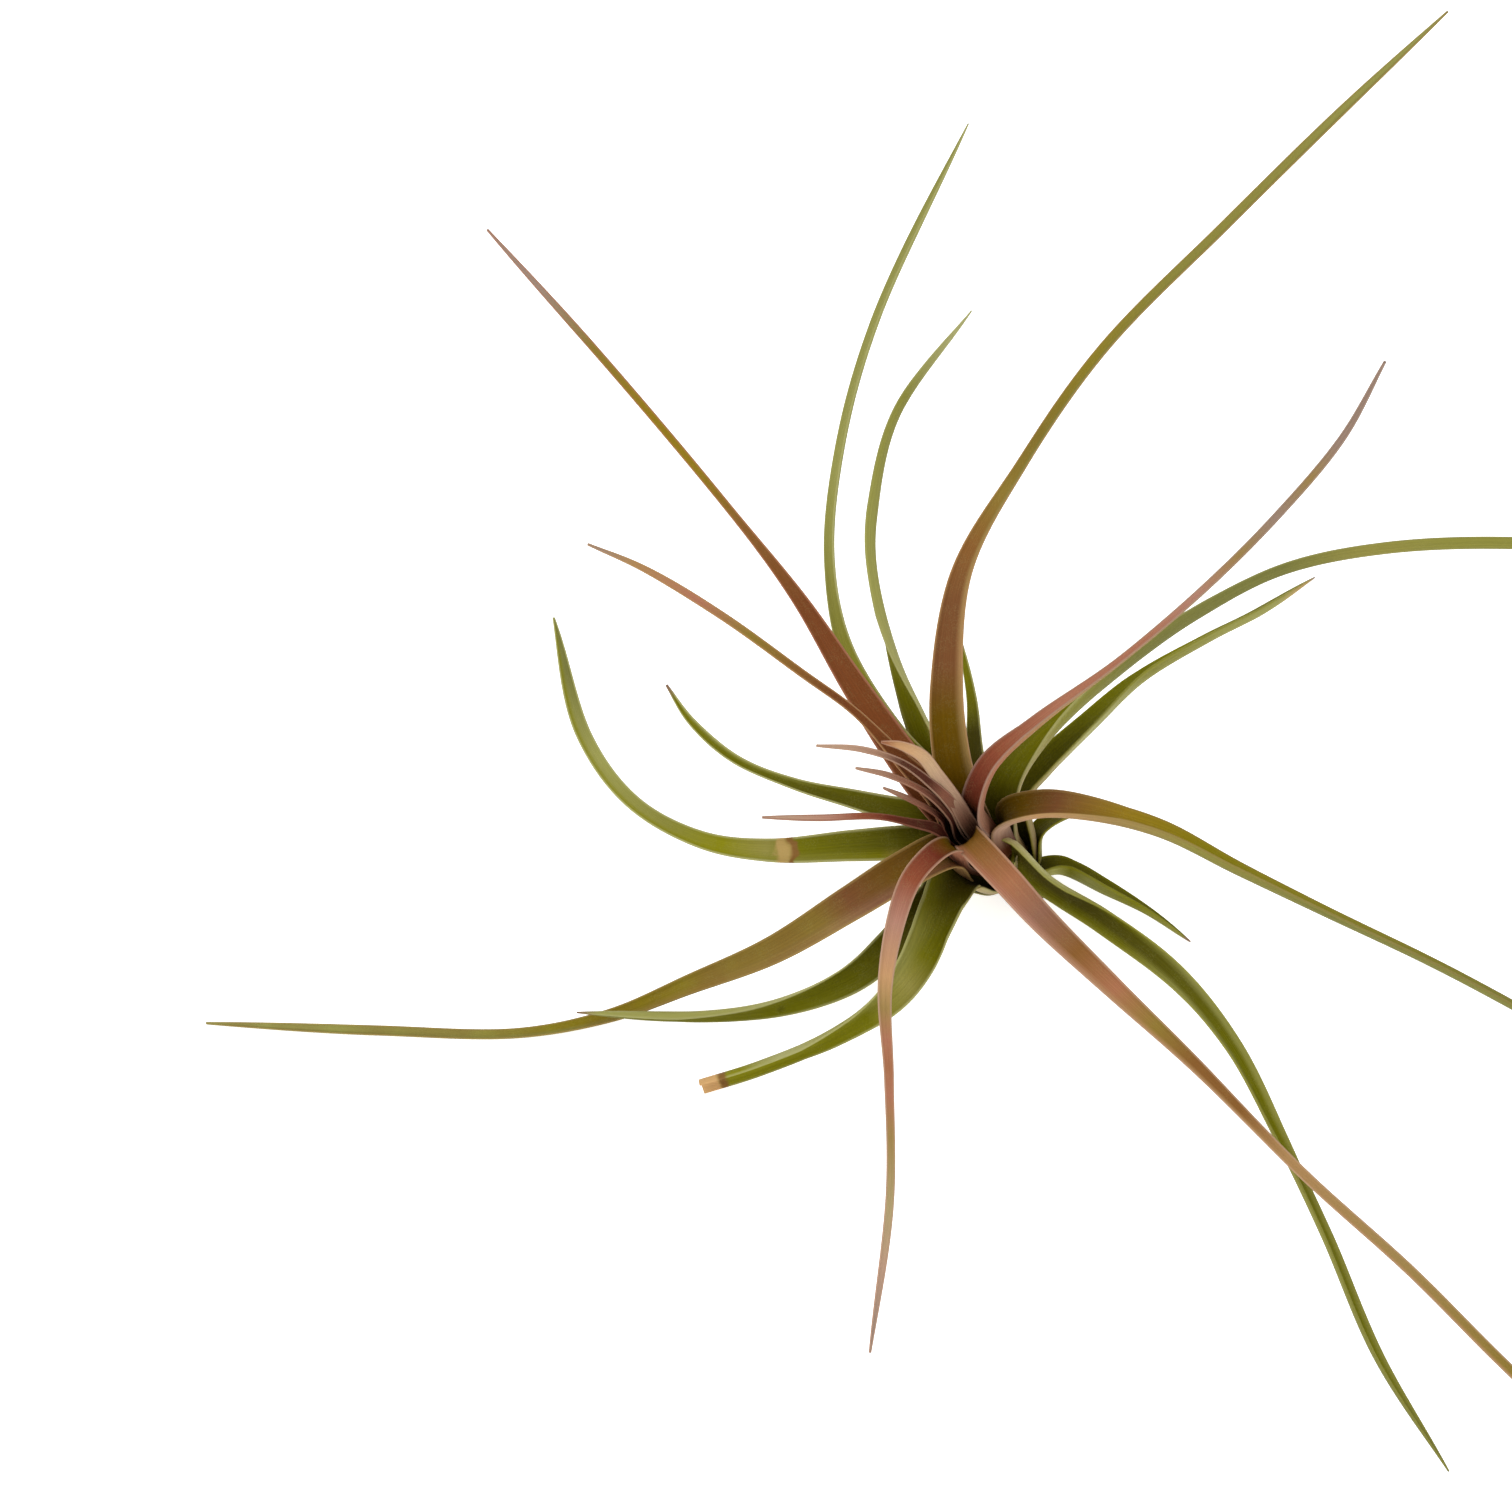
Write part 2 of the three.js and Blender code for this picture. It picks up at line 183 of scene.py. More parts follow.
def bark_material():
    """Papery brown bark, pale where it is worn."""
    material, tree, shader = new_finish("stem_bark")
    broad = placed(tree, soft_patches, {"Count": BARK_PATCHES, "Seed": 3.0})
    broad = sums(tree, "MULTIPLY", broad, BARK_PATCH_SHARE)
    fine = placed(tree, soft_patches, {"Count": BARK_FLECKS, "Seed": 8.0})
    worn = sums(tree, "ADD", broad, sums(tree, "MULTIPLY", fine, BARK_FLECK_SHARE))
    brown = mixed(tree, worn, pigment(BARK_DARK), pigment(BARK_PALE))
    tree.links.new(brown, shader.inputs["Base Color"])
    relief = {"Strength": BARK_RELIEF, "Distance": BARK_RELIEF_DEPTH, "Height": worn}
    tree.links.new(add_node(tree, "Bump", feeds=relief).outputs["Normal"], shader.inputs["Normal"])
    shader.inputs["Roughness"].default_value = BARK_ROUGHNESS
    shader.inputs["Specular IOR Level"].default_value = BARK_GLOSS
    return material


def stem_piece():
    """A round stub ringed with scars, its lowest ring slid along the stem to a flat foot."""
    top = STEM_PROFILE[-1][1]
    points = [Vector((0, 0, 0))]
    for ring in range(STEM_RINGS):
        height = top * ring / STEM_RINGS
        scar = abs(math.sin(math.pi * height / SCAR_SPACING)) ** SCAR_SHARPNESS
        radius = stem_radius(height) - SCAR_DEPTH * scar
        for side in range(STEM_SIDES):
            point = round_stem(360 * side / STEM_SIDES) * radius + stem_along * height
            if ring == 0:
                point -= stem_along * (point.z / stem_along.z)
            point.z = max(0, point.z)
            points.append(point)
    points.append(stem_along * top)
    faces = []
    for side in range(STEM_SIDES):
        beside = (side + 1) % STEM_SIDES
        faces.append((0, 1 + beside, 1 + side))
        for ring in range(STEM_RINGS - 1):
            low = 1 + ring * STEM_SIDES
            high = low + STEM_SIDES
            faces.append((low + side, low + beside, high + beside, high + side))
        last = 1 + (STEM_RINGS - 1) * STEM_SIDES
        faces.append((last + side, last + beside, len(points) - 1))
    return linked("stem_bark", points, faces)


stem = stem_piece()
stem.data.materials.append(bark_material())
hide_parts("stem")


# The outer leaves: the oldest twelve, stiff and olive green. Each is one folded blade that grew
# from the stem as a sheath, channelled towards the heart, grey with fine scales on its back. One
# was bent over at a crease and another was cut off short, and both have healed brown there.
THICK_ROOT = 1.4
THICK_TIP = 0.6
THICK_MARGIN = 0.32
CUP = (62, 48)
CUP_SETTLED = 0.3
SHOULDER = 8
POINT_START = 0.8
POINT_WIDTH = 0.26
POINT_FULLNESS = 2.0
POINT_THICKNESS = 0.3
ROOT_SUNK = 0.6
CURVE_STEPS = 40
STATIONS = 170
COLUMNS = 19
MARGIN_THINNING = 0.8
MARGIN_WAVE = 0.02
WAVES = 4
WAVE_PACE = (0.03, 0.09)

LEAF_COLOURS = {
    # The first colour, near black, is painted shade at the leaf bases down in the heart; the pin pricks
    # use it too.
    "heart_shade_and_prick_dark": "#1c1705",
    "deep_olive": "#3f3a02",
    "moss": "#514e04",
    "olive": "#5f5d03",
    "leaf_green": "#6c6a03",
    "lime": "#827f0c",
    "straw_green": "#838038",
    "scaly_green": "#93914e",
    "scaly_pale": "#a5a36c",
    "grey_green": "#737239",
    "crease_green": "#8b843f",
    "bone": "#a8986c",
    "bark_brown": "#644326",
    "crease_brown": "#7d5a2c",
    "crease_tan": "#a98e55",
    "cut_tan": "#c39a66",
}


def leaf_spine(leaf):
    """Points evenly spaced along the curve through the leaf's midrib, and its length."""
    height, angle = leaf["root"][:2]
    outward = round_stem(angle)
    start = stem_along * height + outward * (stem_radius(height) - ROOT_SUNK)
    splay = math.radians(leaf["splay"])
    sheath = start + (stem_along * math.cos(splay) + outward * math.sin(splay)) * leaf["sheath"][0]
    points = [start, sheath] + [Vector(p) for p in leaf["blade"]]
    points = [points[0] * 2 - points[1]] + points + [points[-1] * 2 - points[-2]]
    fine = []
    # Square roots of the spans keep the curve from swinging wide between unevenly spaced points.
    for p0, p1, p2, p3 in zip(points, points[1:], points[2:], points[3:]):
        d0, d1, d2 = (math.sqrt((b - a).length) for a, b in ((p0, p1), (p1, p2), (p2, p3)))
        leaving = ((p1 - p0) / d0 - (p2 - p0) / (d0 + d1) + (p2 - p1) / d1) * d1
        arriving = ((p2 - p1) / d1 - (p3 - p1) / (d1 + d2) + (p3 - p2) / d2) * d1
        for i in range(CURVE_STEPS):
            t = i / CURVE_STEPS
            fine.append(
                p1 * (2 * t**3 - 3 * t**2 + 1) + leaving * (t**3 - 2 * t**2 + t)
                + p2 * (3 * t**2 - 2 * t**3) + arriving * (t**3 - t**2)
            )
    fine.append(points[-2])
    reach = [0]
    for a, b in zip(fine, fine[1:]):
        reach.append(reach[-1] + (b - a).length)
    spaced = []
    at = 0
    for i in range(STATIONS + 1):
        goal = reach[-1] * i / STATIONS
        while at < len(fine) - 2 and reach[at + 1] < goal:
            at += 1
        share = (goal - reach[at]) / (reach[at + 1] - reach[at])
        spaced.append(fine[at].lerp(fine[at + 1], min(1, share)))
    return spaced, reach[-1]


def leaf_breadth(leaf, share, shoulder):
    """The blade's width: out to its shoulder, in to its waist, and at last to a point."""
    if share < shoulder:
        return blend(leaf["sheath"][1], leaf["broad"], math.sin(math.pi / 2 * share / shoulder))
    fall = min(1, (share - shoulder) / (leaf["waist"] - shoulder))
    body = blend(leaf["broad"], leaf["tail"], (1 - math.cos(math.pi * fall)) / 2)
    if leaf.get("cut") or share < POINT_START:
        return body
    narrowed = ((share - POINT_START) / (1 - POINT_START)) ** POINT_FULLNESS
    return blend(body, POINT_WIDTH, narrowed)


def turned_over(leaf, share):
    """How far the blade has rolled about its midrib, in degrees."""
    stops = leaf.get("twist", [(0, 0)])
    if share <= stops[0][0]:
        return stops[0][1]
    for (start, before), (end, after) in zip(stops, stops[1:]):
        if share <= end:
            return blend(before, after, (share - start) / (end - start))
    return stops[-1][1]


def leaf_frames(leaf, spine):
    """The ways across and out of the blade at every station, carried along and then rolled."""
    facing = leaf["root"][2] if len(leaf["root"]) > 2 else leaf["root"][1]
    side = round_stem(facing).cross(stem_along).normalized()
    last = len(spine) - 1
    for station in range(len(spine)):
        forward = (spine[min(station + 1, last)] - spine[max(station - 1, 0)]).normalized()
        side = (side - forward * side.dot(forward)).normalized()
        turn = math.radians(turned_over(leaf, station / last))
        rolled = Matrix.Rotation(turn, 3, forward) @ side
        yield rolled, rolled.cross(forward).normalized()


def leaf_blade(leaf):
    """The folded blade: a deep channel at the sheath, a keel beneath, and thin wavy margins."""
    spine, length = leaf_spine(leaf)
    shoulder = (leaf["sheath"][0] + SHOULDER) / length
    chance = random.Random(leaf["name"])
    waves = [(chance.uniform(*WAVE_PACE) * length, chance.uniform(0, math.tau)) for _ in range(WAVES)]
    points = []
    places = []
    for station, (rolled, upper) in enumerate(leaf_frames(leaf, spine)):
        share = station / STATIONS
        cup = math.radians(blend(*leaf.get("cup", CUP), min(1, share / CUP_SETTLED)))
        radius = leaf_breadth(leaf, share, shoulder) / 2 / math.sin(cup)
        rise = radius * (1 + math.cos(cup)) / 2
        ripple = sum(math.sin(share * turns + start) for turns, start in waves) / len(waves)
        tapered = 1 if leaf.get("cut") else min(1, (1 - share) / (1 - POINT_START))
        middle = blend(THICK_ROOT, THICK_TIP, math.sqrt(share))
        middle = blend(POINT_THICKNESS, middle, tapered)
        for face in (1, -1):
            for column in range(COLUMNS):
                place = (2 * column / (COLUMNS - 1) - 1) * face
                thick = blend(middle, THICK_MARGIN, abs(place) ** MARGIN_THINNING)
                reach = radius * (1 + MARGIN_WAVE * ripple * place) - face * thick / 2
                angle = cup * place * (1 - MARGIN_WAVE)
                point = spine[station] + rolled * (reach * math.sin(angle))
                point += upper * (rise - reach * math.cos(angle))
                point.z = max(0, point.z)
                points.append(point)
                places.append((place, share, (face + 1) / 2))
    ring = 2 * COLUMNS
    faces = []
    for station in range(STATIONS):
        for i in range(ring):
            a = station * ring + i
            b = station * ring + (i + 1) % ring
            faces.append((a, b, b + ring, a + ring))
    last = STATIONS * ring
    for i in range(COLUMNS - 1):
        other = ring - 1 - i
        faces.append((i, other, other - 1, i + 1))
        faces.append((last + i, last + i + 1, last + other - 1, last + other))
    piece = linked(leaf["name"] + "_blade", points, faces)
    attribute = piece.data.attributes.new("leaf_place", "FLOAT_VECTOR", "POINT")
    for spot, place in zip(attribute.data, places):
        spot.vector = place
    return piece


NERVE_DRIFT = 5.0
NERVE_EDGE = (0.35, 0.65)
FLAKE_EDGE = (0.25, 0.55)
FLAKE_PATCHES = 350.0
FLAKE_PATCH_EDGE = (0.4, 0.62)
PRICK_EDGE = (0.05, 0.09)
PRICK_RARITY = (0.7, 0.75)


def nerves_group():
    """Fine lines that run the length of a blade, as close as the nerves that show through it."""
    group, given, result = effect_group("leaf nerves", ["Across", "Along", "Lines"], ["Mask"])
    crowd = sums(group, "MULTIPLY", given["Across"], given["Lines"])
    slow = sums(group, "MULTIPLY", given["Along"], NERVE_DRIFT)
    spot = add_node(group, "CombineXYZ", feeds={"X": crowd, "Y": slow}).outputs[0]
    noise = add_node(group, "TexNoise", feeds={"Vector": spot, "Scale": 1.0, "Detail": 2.0})
    group.links.new(eased(group, noise.outputs["Fac"], *NERVE_EDGE), result["Mask"])
    return group


def scales_group():
    """The silvery scales that an air plant drinks through: a dust of tiny pale flakes."""
    group, given, result = effect_group("drinking scales", ["Count"], ["Mask"])
    spot = add_node(group, "TexCoord").outputs["Object"]
    flakes = add_node(group, "TexVoronoi", feeds={"Vector": spot, "Scale": given["Count"]})
    flake = eased(group, flakes.outputs["Distance"], *FLAKE_EDGE, 1.0, 0.0)
    bare = add_node(group, "TexNoise", feeds={"Vector": spot, "Scale": FLAKE_PATCHES, "Detail": 3.0})
    strewn = eased(group, bare.outputs["Fac"], *FLAKE_PATCH_EDGE)
    group.links.new(sums(group, "MULTIPLY", flake, strewn), result["Mask"])
    return group


def specks_group():
    """A few dark pin-prick marks where a blade was once nicked."""
    group, given, result = effect_group("pin pricks", ["Count"], ["Mask"])
    spot = add_node(group, "TexCoord").outputs["Object"]
    cells = add_node(group, "TexVoronoi", feeds={"Vector": spot, "Scale": given["Count"]})
    close = eased(group, cells.outputs["Distance"], *PRICK_EDGE, 1.0, 0.0)
    parts = add_node(group, "SeparateColor", feeds={"Color": cells.outputs["Color"]})
    rare = eased(group, parts.outputs["Red"], *PRICK_RARITY)
    group.links.new(sums(group, "MULTIPLY", close, rare), result["Mask"])
    return group


leaf_nerves = nerves_group()
drinking_scales = scales_group()
pin_pricks = specks_group()


def length_ramp(tree, along, stops):
    """Colours by name at shares of a leaf's length, each fading into the next."""
    ramp = add_node(tree, "ValToRGB", feeds={"Fac": along})
    elements = ramp.color_ramp.elements
    while len(elements) < len(stops):
        elements.new(1.0)
    while len(elements) > len(stops):
        elements.remove(elements[-1])
    for element, (share, name) in zip(elements, stops):
        element.position = share
        element.color = pigment(LEAF_COLOURS[name])
    return ramp.outputs["Color"]


# Nerves are counted from midrib to margin, and scales, patches and pricks to the metre.
NERVES = 9.0
NERVE_SHADE = 0.8
NERVE_STRENGTH = 0.55
SCALES = 3200.0
SCALE_SILVER = 0.5
SCALE_STRENGTH = 0.16
PIGMENT_PATCHES = 95.0
PRICKS = 45.0
PRICK_STRENGTH = 0.8
FACE_EDGE = (0.3, 0.7)
SIDES_EDGE = (0.2, 0.95)
FLANK_END = 0.9
FLANK_STRENGTH = 0.8
# The pale rim on the margins: partly the scaly edge's own colour and partly painted light, the glow of
# light through the thin margin.
RIM_WIDTH = 0.08
RIM_STRENGTH = 0.5
RAGGED_PATCHES = 260.0
RAGGED_REACH = 0.01
DRY_TIP = "#80644f"
DRY_FADE = 0.05
NERVE_RELIEF = 0.7
SCALE_RELIEF = 0.3
LEAF_RELIEF = 0.35
LEAF_RELIEF_DEPTH = 0.00025
LEAF_ROUGHNESS = (0.5, 0.66)
LEAF_GLOSS = 0.05


def leaf_skin(leaf):
    """One leaf's colours, from sheath to tip, on its inner face, its back and its margins, with painted
    shade at its base and a pale rim that is partly painted glow.
    """
    material, tree, shader = new_finish(leaf["name"] + "_skin")
    spot = add_node(tree, "Attribute", {"attribute_name": "leaf_place"}).outputs["Vector"]
    split = add_node(tree, "SeparateXYZ", feeds={"Vector": spot}).outputs
    across, along, inner = split["X"], split["Y"], split["Z"]
    outward = sums(tree, "ABSOLUTE", across, 0.0)
    lines = leaf.get("nerves", NERVES)
    nerve = placed(tree, leaf_nerves, {"Across": across, "Along": along, "Lines": lines})
    scale = placed(tree, drinking_scales, {"Count": SCALES})
    prick = placed(tree, pin_pricks, {"Count": PRICKS})

    inside = length_ramp(tree, along, leaf["inside"])
    if "sides" in leaf:
        flank = length_ramp(tree, along, leaf["sides"])
        inside = mixed(tree, eased(tree, outward, *SIDES_EDGE), inside, flank)
    if "flank" in leaf:
        sideways = sums(tree, "MULTIPLY", across, leaf["flank_side"])
        reached = eased(tree, sideways, leaf.get("flank_from", 0.0), FLANK_END, 0.0, FLANK_STRENGTH)
        inside = mixed(tree, reached, inside, length_ramp(tree, along, leaf["flank"]))
    back = length_ramp(tree, along, leaf["outside"])
    colour = mixed(tree, eased(tree, inner, *FACE_EDGE), back, inside)
    if "blush" in leaf:
        name, strength = leaf["blush"]
        patch = placed(tree, soft_patches, {"Count": PIGMENT_PATCHES, "Seed": leaf["root"][0]})
        blushed = sums(tree, "MULTIPLY", patch, strength)
        colour = mixed(tree, blushed, colour, pigment(LEAF_COLOURS[name]))
    shade = {"Value": NERVE_SHADE, "Color": colour}
    shadow = add_node(tree, "HueSaturation", feeds=shade).outputs["Color"]
    colour = mixed(tree, sums(tree, "MULTIPLY", nerve, NERVE_STRENGTH), colour, shadow)
    # The pale rim along each margin is partly the thin edge's own scaly colour and partly painted light
    # shining through the thin margin.
    rim_start = 1 - 2 * leaf.get("scaly_glow_rim", RIM_WIDTH)
    scaly_glow_rim = eased(tree, outward, rim_start, 1.0, 0.0, leaf.get("rim_strength", RIM_STRENGTH))
    colour = mixed(tree, scaly_glow_rim, colour, pigment(LEAF_COLOURS[leaf.get("margin", "scaly_pale")]))
    if "bands" in leaf:
        ragged = placed(tree, soft_patches, {"Count": RAGGED_PATCHES, "Seed": 5.0})
        uneven = sums(tree, "ADD", along, sums(tree, "MULTIPLY", ragged, RAGGED_REACH))
    for start, end, name in leaf.get("bands", []):
        edge = (end - start) / 3
        band = eased(tree, uneven, start, start + edge)
        if end < 1:
            band = sums(tree, "MULTIPLY", band, eased(tree, uneven, end - edge, end, 1.0, 0.0))
        colour = mixed(tree, band, colour, pigment(LEAF_COLOURS[name]))
    silver = mixed(tree, SCALE_SILVER, colour, pigment(LEAF_COLOURS["scaly_pale"]))
    colour = mixed(tree, sums(tree, "MULTIPLY", scale, SCALE_STRENGTH), colour, silver)
    # The pin pricks take the near black that is elsewhere painted as shade at the leaf bases in the
    # heart.
    pricked = sums(tree, "MULTIPLY", prick, PRICK_STRENGTH)
    colour = mixed(tree, pricked, colour, pigment(LEAF_COLOURS["heart_shade_and_prick_dark"]))
    if "dried" in leaf:
        dry = eased(tree, along, leaf["dried"], leaf["dried"] + DRY_FADE)
        colour = mixed(tree, dry, colour, pigment(DRY_TIP))
    tree.links.new(colour, shader.inputs["Base Color"])

    ribs = sums(tree, "MULTIPLY", nerve, NERVE_RELIEF)
    height = sums(tree, "ADD", ribs, sums(tree, "MULTIPLY", scale, SCALE_RELIEF))
    relief = {"Strength": LEAF_RELIEF, "Distance": LEAF_RELIEF_DEPTH, "Height": height}
    tree.links.new(add_node(tree, "Bump", feeds=relief).outputs["Normal"], shader.inputs["Normal"])
    rough = eased(tree, scale, 0.0, 1.0, *LEAF_ROUGHNESS)
    tree.links.new(rough, shader.inputs["Roughness"])
    shader.inputs["Specular IOR Level"].default_value = LEAF_GLOSS
    return material


def grow(leaves):
    """A blade with its own skin in place of each leaf's solid."""
    for leaf in leaves:
        piece = leaf_blade(leaf)
        piece.data.materials.append(leaf_skin(leaf))
        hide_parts(leaf["name"])


# A leaf's root gives its height on the stem and the side it grows from, its sheath a length and a
# width. Broad, tail and waist say how wide it is and where it narrows, cup how far it folds, twist
# how it turns over, and blade the points of its midrib. Colours stand at shares of its length.
# Each leaf's colours start near black at its base: painted shade where it sinks into the heart.
OUTER_LEAVES = [
    {
        "name": "outer_leaf_1", "root": (9.5, 158), "splay": 16, "sheath": (7, 4.6), "broad": 5.4,
        "tail": 1.6, "waist": 0.7,
        "blade": [(-20, 2, 23), (-26.5, 2.5, 24.5), (-34.5, 4.5, 25), (-44.5, 7.5, 25), (-55.5, 14, 23),
            (-63.5, 22, 23), (-68, 29, 24)],
        "inside": [(0, "heart_shade_and_prick_dark"), (0.12, "deep_olive"), (0.35, "moss"), (0.55, "moss"), (0.7, "olive"),
            (0.9, "leaf_green")],
        "outside": [(0, "bark_brown"), (0.15, "scaly_pale"), (1, "scaly_green")],
        "flank": [(0, "moss"), (0.5, "olive"), (0.68, "straw_green"), (1, "scaly_green")],
        "flank_side": 1, "scaly_glow_rim": 0.11, "rim_strength": 0.8, "dried": 0.95,
    },
    {
        "name": "outer_leaf_2", "root": (12, 250), "splay": 24, "sheath": (4, 4.8), "broad": 8.8,
        "tail": 4.5, "waist": 0.66, "cup": (72, 74), "cut": True,
        "twist": [(0, -20), (0.08, -45), (0.15, -48), (0.25, -10), (0.33, -10), (0.45, -40), (0.6, -82),
            (0.75, -108)],
        "blade": [(-14.5, -7, 18), (-17.5, -13.5, 17.5), (-22.5, -24, 15), (-28, -30, 12),
            (-38, -35.5, 8.5), (-51, -39.6, 4.6), (-61.5, -42.1, 2.3)],
        "inside": [(0, "heart_shade_and_prick_dark"), (0.12, "heart_shade_and_prick_dark"), (0.2, "deep_olive"), (0.26, "moss"),
            (0.32, "olive"), (0.38, "leaf_green"), (0.46, "crease_green"), (0.58, "leaf_green"),
            (0.9, "lime")],
        "outside": [(0, "bark_brown"), (0.1, "bone"), (0.16, "crease_tan"), (0.22, "straw_green"),
            (0.35, "scaly_green"), (0.6, "scaly_green"), (0.8, "scaly_pale"), (0.9, "lime")],
        "flank": [(0, "moss"), (0.25, "leaf_green"), (0.33, "straw_green"), (0.42, "scaly_green"),
            (1, "lime")],
        "flank_side": 1,
        "bands": [(0.94, 0.972, "crease_brown"), (0.958, 1, "cut_tan")],
    },
    {
        "name": "outer_leaf_3", "root": (8.5, 112), "splay": 18, "sheath": (7, 5.0), "broad": 7.0,
        "tail": 3.3, "waist": 0.5, "cup": (75, 65),
        "twist": [(0, -5), (0.28, -42), (0.42, -92), (0.58, -98), (0.85, -62)],
        "blade": [(-17.5, 10, 24), (-21.5, 16.5, 29), (-27.5, 31.5, 34.5), (-30.5, 47.5, 37.5),
            (-30, 58.5, 38.5), (-25.5, 80.5, 36), (-11, 106, 32.5)],
        "inside": [(0, "heart_shade_and_prick_dark"), (0.12, "deep_olive"), (0.22, "olive"), (0.33, "leaf_green"),
            (0.42, "straw_green"), (0.7, "lime"), (0.95, "scaly_pale")],
        "outside": [(0, "bark_brown"), (0.12, "bone"), (0.25, "scaly_pale"), (0.45, "scaly_green"),
            (0.8, "straw_green"), (0.95, "scaly_pale")],
        "flank": [(0, "bark_brown"), (0.2, "crease_tan"), (0.28, "straw_green"), (0.45, "scaly_green")],
        "flank_side": 1,
    },
    {
        "name": "outer_leaf_4", "root": (9, 60), "splay": 14, "sheath": (8, 5.2), "broad": 8.0,
        "tail": 3.0, "waist": 0.5, "cup": (78, 70),
        "twist": [(0.1, 0), (0.2, -40), (0.3, -72), (0.4, -85)],
        "blade": [(-7, 5.5, 24), (-5.5, 8.5, 28), (-1, 13.5, 31), (5.5, 19, 34), (18, 28.5, 37),
            (29, 37, 36.5), (44.5, 47.1, 34.4), (63.5, 54.7, 29.6), (89.5, 61, 21.5),
            (126, 64.5, 10.5)],
        "inside": [(0, "heart_shade_and_prick_dark"), (0.06, "moss"), (0.12, "olive"), (0.2, "leaf_green"), (0.4, "lime")],
        "outside": [(0, "bark_brown"), (0.1, "bone"), (0.2, "straw_green"), (0.3, "grey_green"),
            (0.5, "grey_green"), (0.6, "crease_green"), (0.7, "straw_green")],
    },
    {
        "name": "outer_leaf_5", "root": (6.5, 178), "splay": 24, "sheath": (6, 5.6), "broad": 7.0,
        "tail": 2.7, "waist": 0.66,
        "blade": [(-18, -0.5, 17), (-24.5, -1, 18), (-34.5, -1, 17), (-49, -0.5, 14.5), (-61.5, 2, 14),
            (-74, 9, 15.5), (-83, 21.5, 18), (-89, 45, 21.5)],
        "inside": [(0, "heart_shade_and_prick_dark"), (0.1, "deep_olive"), (0.22, "moss"), (0.3, "olive"),
            (0.385, "leaf_green"), (0.43, "crease_green"), (0.5, "lime"), (0.6, "straw_green"),
            (0.75, "scaly_green"), (0.9, "grey_green")],
        "outside": [(0, "bark_brown"), (0.12, "bone"), (0.3, "scaly_green"), (0.5, "scaly_pale")],
        "flank": [(0, "bark_brown"), (0.2, "crease_tan"), (0.25, "lime"), (0.38, "straw_green"),
            (0.5, "lime")],
        "flank_side": -1, "scaly_glow_rim": 0.1, "rim_strength": 0.7,
        "bands": [(0.383, 0.405, "crease_brown"), (0.395, 0.425, "crease_tan")],
    },
    {
        "name": "outer_leaf_6", "root": (7, 126), "splay": 26, "sheath": (7, 5.0), "broad": 6.2,
        "tail": 2.4, "waist": 0.4, "cup": (75, 65),
        "twist": [(0, -15), (0.35, -30)],
        "blade": [(-20, 11, 22.5), (-26.5, 17, 27), (-35, 31, 33), (-38, 49, 35), (-36, 73.5, 34.5),
            (-29, 104.5, 31.5), (-10.5, 154, 26.5)],
        "inside": [(0, "heart_shade_and_prick_dark"), (0.1, "deep_olive"), (0.2, "lime"), (0.34, "straw_green"),
            (0.5, "scaly_green")],
        "outside": [(0, "bark_brown"), (0.12, "bone"), (0.3, "scaly_pale"), (0.5, "scaly_green")],
    },
    {
        "name": "outer_leaf_7", "root": (10.5, 222), "splay": 26, "sheath": (3.5, 4.4), "broad": 6.4,
        "tail": 4.0, "waist": 0.8, "cup": (70, 70),
        "twist": [(0, -20), (0.08, -50), (0.16, -40), (0.2, 0), (0.35, -30), (0.5, -64), (0.65, -94),
            (0.8, -115)],
        "blade": [(-15.5, -5.5, 15.5), (-19.5, -10.5, 14.5), (-27, -18, 11), (-34.5, -23.5, 8.5),
            (-47, -28, 6.5), (-61.5, -30, 6), (-84, -29.5, 6.5)],
        "inside": [(0, "heart_shade_and_prick_dark"), (0.12, "deep_olive"), (0.35, "moss"), (0.6, "leaf_green"),
            (1, "straw_green")],
        "outside": [(0, "bark_brown"), (0.12, "bone"), (0.3, "straw_green"), (0.5, "scaly_pale"),
            (0.7, "scaly_green")],
        "dried": 0.95,
    },
    {
        "name": "outer_leaf_8", "root": (10, 317), "splay": 16, "sheath": (7, 5.2), "broad": 5.6,
        "tail": 3.2, "waist": 0.5, "cup": (78, 70),
        "twist": [(0, 60), (0.09, 100), (0.17, 94), (0.26, 62), (0.38, 20), (0.5, -6), (0.62, -35)],
        "blade": [(-6, -4, 22), (0.5, -9.5, 19), (11, -14.5, 14.5), (24, -26.5, 14.5),
            (33.5, -40.5, 14.5), (41, -58, 14), (48.5, -76.5, 12.5), (57, -98, 8), (69, -116, 0.2)],
        "inside": [(0, "heart_shade_and_prick_dark"), (0.08, "deep_olive"), (0.2, "deep_olive"), (0.32, "moss"),
            (0.44, "olive"), (0.6, "leaf_green"), (0.88, "leaf_green"), (0.97, "grey_green")],
        "outside": [(0, "bark_brown"), (0.07, "bone"), (0.12, "scaly_pale"), (0.2, "straw_green"),
            (0.3, "scaly_green"), (0.6, "straw_green"), (0.97, "grey_green")],
        "sides": [(0, "moss"), (0.18, "olive"), (0.26, "leaf_green"), (0.36, "scaly_green"),
            (0.6, "straw_green")],
        "margin": "straw_green", "scaly_glow_rim": 0.12,
    },
    {
        "name": "outer_leaf_9", "root": (6.5, 45), "splay": 28, "sheath": (7, 5.0), "broad": 6.2,
        "tail": 3.4, "waist": 0.8, "cup": (75, 72),
        "twist": [(0.25, 0), (0.5, -22)],
        "blade": [(-3.5, 8, 19.5), (0.5, 12.5, 22), (9.5, 22, 22.5), (19, 33, 20), (32.5, 45, 14.5),
            (43, 54.3, 8.6), (54.5, 66.9, 0.2)],
        "inside": [(0, "heart_shade_and_prick_dark"), (0.1, "moss"), (0.3, "olive"), (0.4, "leaf_green"),
            (0.52, "leaf_green"), (0.6, "lime"), (0.85, "straw_green")],
        "outside": [(0, "bark_brown"), (0.12, "bone"), (0.3, "scaly_pale"), (0.5, "straw_green"),
